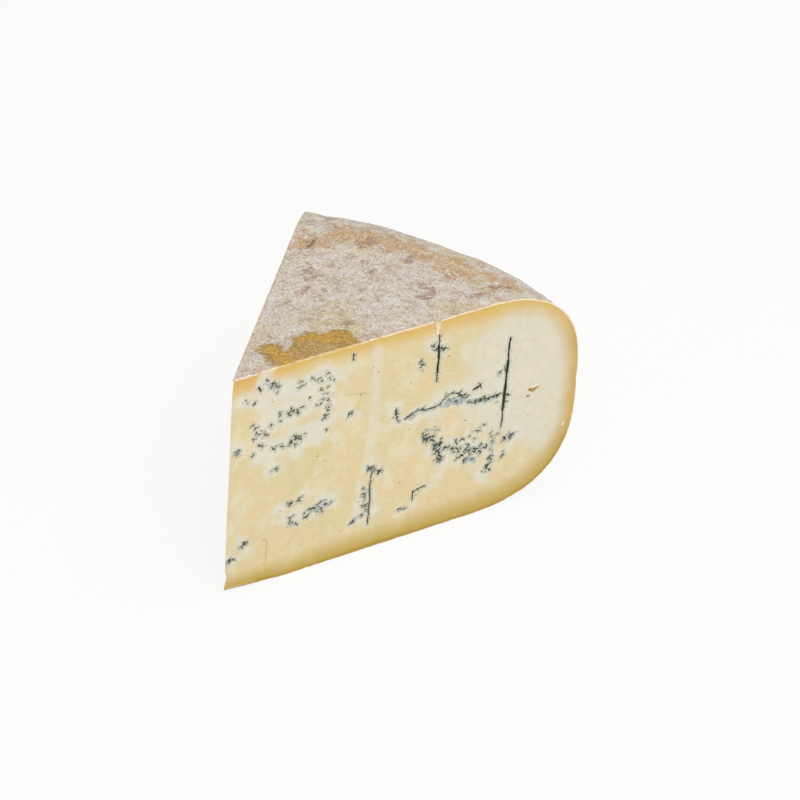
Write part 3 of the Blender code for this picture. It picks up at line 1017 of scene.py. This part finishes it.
def map_by_face(mesh):
    """A bake map on which each triangle has half of a small square to itself."""
    number = np.arange(len(mesh.polygons))
    side = math.ceil(math.sqrt(len(number) / 2))
    square = np.stack([number // 2 % side, number // 2 // side], axis=1)
    lower = np.array(((0.1, 0.1), (0.8, 0.1), (0.1, 0.8)))
    halves = np.where(number[:, None, None] % 2 == 0, lower, 1 - lower)
    corners = (square[:, None] + halves) / side
    mesh.uv_layers.new(name="OFBake").data.foreach_set("uv", corners.astype(np.float32).ravel())


def strewn(name, tree, hosts, finish, **amounts):
    """Lumps of one kind over some pieces, joined into one plain mesh."""
    bm = bmesh.new()
    for host in hosts:
        bearer = bpy.data.objects.new(name, host.data)
        bpy.context.scene.collection.objects.link(bearer)
        modifier = bearer.modifiers.new("strewn", "NODES")
        modifier.node_group = tree
        for socket in tree.interface.items_tree:
            if socket.in_out == "INPUT" and socket.name in amounts:
                modifier[socket.identifier] = amounts[socket.name]
            if socket.name == "Material":
                modifier[socket.identifier] = finish
        bpy.context.view_layer.update()
        made = bpy.data.meshes.new_from_object(bearer.evaluated_get(bpy.context.evaluated_depsgraph_get()))
        bm.from_mesh(made)
        bpy.data.objects.remove(bearer)
        bpy.data.meshes.remove(made)
    for vert in bm.verts:
        vert.co = [min(max(c, low), high) for c, low, high in zip(vert.co, low_corner, high_corner)]
    mesh = bpy.data.meshes.new(name)
    bmesh.ops.recalc_face_normals(bm, faces=bm.faces)
    bm.to_mesh(mesh)
    bm.free()
    map_by_face(mesh)
    piece = bpy.data.objects.new(name, mesh)
    mesh.materials.append(finish)
    bpy.context.scene.collection.objects.link(piece)
    return piece


# ---------------------------------------------------------------- stage

def studio_floor():
    half = FLOOR_HALF
    corners = [(-half, -half, 0), (half, -half, 0), (half, half, 0), (-half, half, 0)]
    mesh = bpy.data.meshes.new("studio_floor")
    mesh.from_pydata(corners, [], [(0, 1, 2, 3)])
    floor = bpy.data.objects.new("studio_floor", mesh)
    bpy.context.scene.collection.objects.link(floor)
    mesh.materials.append(seamless_paper())


def area_light(name, azimuth, elevation, distance, size, watts):
    """A square soft box that looks at the wedge's middle."""
    light = bpy.data.lights.new(name, "AREA")
    light.size = size
    light.energy = watts
    lamp = bpy.data.objects.new(name, light)
    turn, lift = math.radians(azimuth), math.radians(elevation)
    out = Vector((math.sin(turn) * math.cos(lift), -math.cos(turn) * math.cos(lift), math.sin(lift)))
    lamp.location = Vector((0, 0, 0.05)) + out * distance
    lamp.rotation_euler = out.to_track_quat("Z", "Y").to_euler()
    bpy.context.scene.collection.objects.link(lamp)


def studio_light():
    area_light("key_softbox", -20, 42, LAMP_DISTANCE, 1.2, KEY_WATTS)
    area_light("overhead_softbox", 60, 75, LAMP_DISTANCE, 1.4, OVERHEAD_WATTS)
    world = bpy.data.worlds.new("white_room")
    bpy.context.scene.world = world
    world.use_nodes = True
    tree = world.node_tree
    soft = tree.nodes["Background"]
    soft.inputs["Color"].default_value = (1, 1, 1, 1)
    soft.inputs["Strength"].default_value = ROOM_LIGHT
    bright = node(tree, "ShaderNodeBackground", {"Color": (1, 1, 1, 1), "Strength": 1.0})
    mixed = node(tree, "ShaderNodeMixShader", {0: seen_directly(tree), 1: soft.outputs[0], 2: bright})
    tree.links.new(mixed, tree.nodes["World Output"].inputs["Surface"])


def camera():
    """A long lens, a little more than a metre away, turned to the wedge's left and looking down on it."""
    lens = bpy.data.cameras.new("camera")
    lens.lens = LENS
    lens.sensor_width = 36
    lens.clip_start = 0.05
    lens.clip_end = 20
    eye = bpy.data.objects.new("camera", lens)
    heading, down = math.radians(VIEW_HEADING), math.radians(VIEW_DOWN)
    level_part = math.cos(down)
    forward = Vector((math.sin(heading) * level_part, math.cos(heading) * level_part, -math.sin(down)))
    level = forward.to_track_quat("-Z", "Y") @ Quaternion((0, 0, 1), math.radians(VIEW_ROLL))
    aim = Vector(VIEW_AIM) * MM + Vector(AXIS)
    eye.matrix_world = Matrix.Translation(aim - forward * VIEW_DISTANCE * MM) @ level.to_matrix().to_4x4()
    bpy.context.scene.collection.objects.link(eye)
    bpy.context.scene.camera = eye


# ---------------------------------------------------------------- the scene

low_corner, high_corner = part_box("cheese_wedge")
AXIS = np.array((low_corner.x, low_corner.y, low_corner.z))

camera()
studio_light()
studio_floor()

paste_finish = blue_veined_paste()
rind_finish = dry_natural_rind()

front = paste_half("paste_front", 0.0, 1, front_veins(), 1)
back = paste_half("paste_back", WEDGE_ANGLE, -1, back_veins(), 2)
shoulder = (OUTLINE_Z > RIND_SEAM_HEIGHT).nonzero()[0][-1]
seam_s = float(OUTLINE_S[shoulder])
top_rind = rind_shell("rind_top", RIND_START, seam_s, TOP_RIND_STEP)
side_rind = rind_shell("rind_side_and_base", seam_s, float(OUTLINE_S[-1]) - RIND_START, SIDE_RIND_STEP)
for piece in (front, back):
    piece.data.materials.append(paste_finish)
for piece in (top_rind, side_rind):
    piece.data.materials.append(rind_finish)

strewing = strewn_tree()
spores = crumb_finish("ripe_mould_spores", "#302e1e", "#56563e", "#201e12")
mould = strewn(
    "mould_grains", strewing, (front, back), spores, Where="spores", Density=1.6e6,
    Smallest=0.10 * MM, Largest=0.24 * MM, Flatness=0.8, Lift=0.03 * MM, Seed=3)
torn_paste = crumb_finish("torn_paste_crumbs", "#e6d5aa", "#efe4c8", "#d8c08a")
crumbs = strewn(
    "paste_crumbs", strewing, (front, back), torn_paste, Where="crumbly", Density=8.0e3,
    Smallest=0.16 * MM, Largest=0.34 * MM, Flatness=0.6, Lift=-0.02 * MM, Seed=5)
torn_rind = crumb_finish("torn_rind_flakes", "#efdcb9", "#f8eedd", "#d9b06a")
flakes = strewn(
    "rind_flakes", strewing, (top_rind, side_rind), torn_rind, Where="torn", Density=1.6e6,
    Smallest=0.14 * MM, Largest=0.45 * MM, Flatness=0.5, Lift=-0.06 * MM, Seed=7)
dry_mould = crumb_finish("dry_mould_grains", "#cdbfa9", "#e6dccd", "#9a8a6a")
sand = strewn(
    "rind_grains", strewing, (top_rind, side_rind), dry_mould, Where="sandy", Density=1.6e5,
    Smallest=0.16 * MM, Largest=0.32 * MM, Flatness=0.7, Lift=-0.12 * MM, Seed=9)

for piece in (front, back, top_rind, side_rind, mould, crumbs, flakes, sand):
    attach(piece, "root")
    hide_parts("cheese_wedge")

scene = bpy.context.scene
scene.view_settings.view_transform = "Standard"
